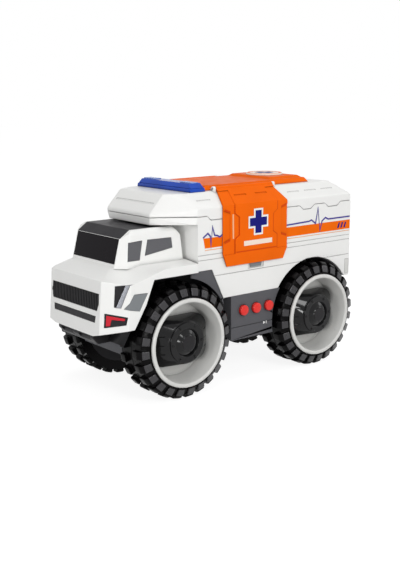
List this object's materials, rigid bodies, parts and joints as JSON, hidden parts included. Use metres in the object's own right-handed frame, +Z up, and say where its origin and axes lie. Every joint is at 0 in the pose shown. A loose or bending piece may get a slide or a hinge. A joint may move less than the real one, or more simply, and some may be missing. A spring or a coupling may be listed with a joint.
{
  "type": "toy ambulance truck",
  "caption": "Big-wheel toy ambulance with a short cab, a boxy body with lifting side doors, a roof light bar, side push buttons and a friction drive on the rear axle.",
  "frame": {"origin": "middle of the bounding box's base, on the ground under the truck", "axes": "+Z up, +Y towards the tail, +X to the truck's left side"},
  "size_m": [0.14, 0.292, 0.1869],
  "materials": {
    "white_abs": "satin gloss",
    "orange_abs": "satin gloss",
    "dark_grey_abs": "satin",
    "black_abs": "satin",
    "hub_gloss_black": "gloss",
    "screen_gloss_black": "gloss",
    "roof_grey_abs": "satin gloss",
    "window_grey": "gloss",
    "mid_grey_abs": "satin",
    "light_grey_abs": "satin gloss",
    "tyre_pvc": "matt",
    "silver_trim": "satin",
    "red_lens": "gloss",
    "red_button": "gloss",
    "blue_lens": "gloss",
    "badge_cream": "gloss",
    "circuit_board": "satin",
    "speaker_black": "matt",
    "cell_jacket": "gloss",
    "steel": "bright",
    "gear_acetal": "satin"
  },
  "bodies": {
    "truck": {"chassis_pan": "dark_grey_abs", "cab_shell": "white_abs", "windscreen": "screen_gloss_black", "cab_roof": "roof_grey_abs", "side_windows": "window_grey", "upper_grille": "black_abs", "lower_grille": "black_abs", "headlamps": "black_abs", "headlamp_strips": "silver_trim", "fog_bezels": "black_abs", "fog_lenses": "red_lens", "wing_inserts": "mid_grey_abs", "front_skid": "black_abs", "arch_fillers": "dark_grey_abs", "box_lower": "white_abs", "box_roof": "white_abs", "roof_plate": "orange_abs", "roof_badge": "badge_cream", "light_bar_base": "white_abs", "light_board": "circuit_board", "light_bar_lens": "blue_lens", "cargo_floor": "mid_grey_abs", "rear_markers": "light_grey_abs", "tail_lamps": "red_lens", "hinge_pin_left": "steel", "hinge_pin_right": "steel", "button_board": "circuit_board", "speaker": "speaker_black", "battery_cells": "cell_jacket", "battery_contacts": "steel", "battery_door": "dark_grey_abs", "battery_door_screw": "steel", "case_screws": "steel", "axle_bushes": "light_grey_abs", "gearbox_frame": "mid_grey_abs", "compound_pin": "steel"},
    "front_wheels": {"front_axle": "steel", "front_tyre_left": "tyre_pvc", "front_tyre_right": "tyre_pvc", "front_rim_left": "light_grey_abs", "front_rim_right": "light_grey_abs", "front_hub_left": "hub_gloss_black", "front_hub_right": "hub_gloss_black"},
    "rear_wheels": {"rear_axle": "steel", "rear_tyre_left": "tyre_pvc", "rear_tyre_right": "tyre_pvc", "rear_rim_left": "light_grey_abs", "rear_rim_right": "light_grey_abs", "rear_hub_left": "hub_gloss_black", "rear_hub_right": "hub_gloss_black", "axle_gear": "gear_acetal"},
    "compound": {"compound_gear": "gear_acetal"},
    "flywheel_rotor": {"flywheel": "steel"},
    "left_door": {"door_left": "orange_abs"},
    "right_door": {"door_right": "orange_abs"},
    "front_button": {"button_front": "red_button"},
    "middle_button": {"button_middle": "red_button"},
    "rear_button": {"button_rear": "red_button"}
  },
  "joints": [
    {"name": "front_wheels_spin", "type": "hinge", "parent": "truck", "child": "front_wheels", "pos_m": [0, -0.071, 0.0515], "axis": [1, 0, 0], "continuous": true},
    {"name": "rear_wheels_spin", "type": "hinge", "parent": "truck", "child": "rear_wheels", "pos_m": [0, 0.092, 0.0515], "axis": [1, 0, 0], "continuous": true},
    {"name": "compound_spin", "type": "hinge", "parent": "truck", "child": "compound", "pos_m": [0, 0.08408, 0.05942], "axis": [1, 0, 0], "continuous": true},
    {"name": "flywheel_spin", "type": "hinge", "parent": "truck", "child": "flywheel_rotor", "pos_m": [0, 0.07848, 0.06912], "axis": [1, 0, 0], "continuous": true},
    {"name": "left_door_lift", "type": "hinge", "parent": "truck", "child": "left_door", "pos_m": [0.0415, 0.0157, 0.18082], "axis": [0, -1, 0], "range_deg": [0, 75]},
    {"name": "right_door_lift", "type": "hinge", "parent": "truck", "child": "right_door", "pos_m": [-0.0415, 0.0157, 0.18082], "axis": [0, 1, 0], "range_deg": [0, 75]},
    {"name": "front_button_press", "type": "slide", "parent": "truck", "child": "front_button", "axis": [-1, 0, 0], "range_m": [0, 0.0012], "stiffness_N_per_m": 400, "springref_m": -0.0005},
    {"name": "middle_button_press", "type": "slide", "parent": "truck", "child": "middle_button", "axis": [-1, 0, 0], "range_m": [0, 0.0012], "stiffness_N_per_m": 400, "springref_m": -0.0005},
    {"name": "rear_button_press", "type": "slide", "parent": "truck", "child": "rear_button", "axis": [-1, 0, 0], "range_m": [0, 0.0012], "stiffness_N_per_m": 400, "springref_m": -0.0005}
  ],
  "couplings": [
    {"joint": "compound_spin", "follows": "rear_wheels_spin", "ratio": -1.8},
    {"joint": "flywheel_spin", "follows": "rear_wheels_spin", "ratio": 3.24}
  ]
}
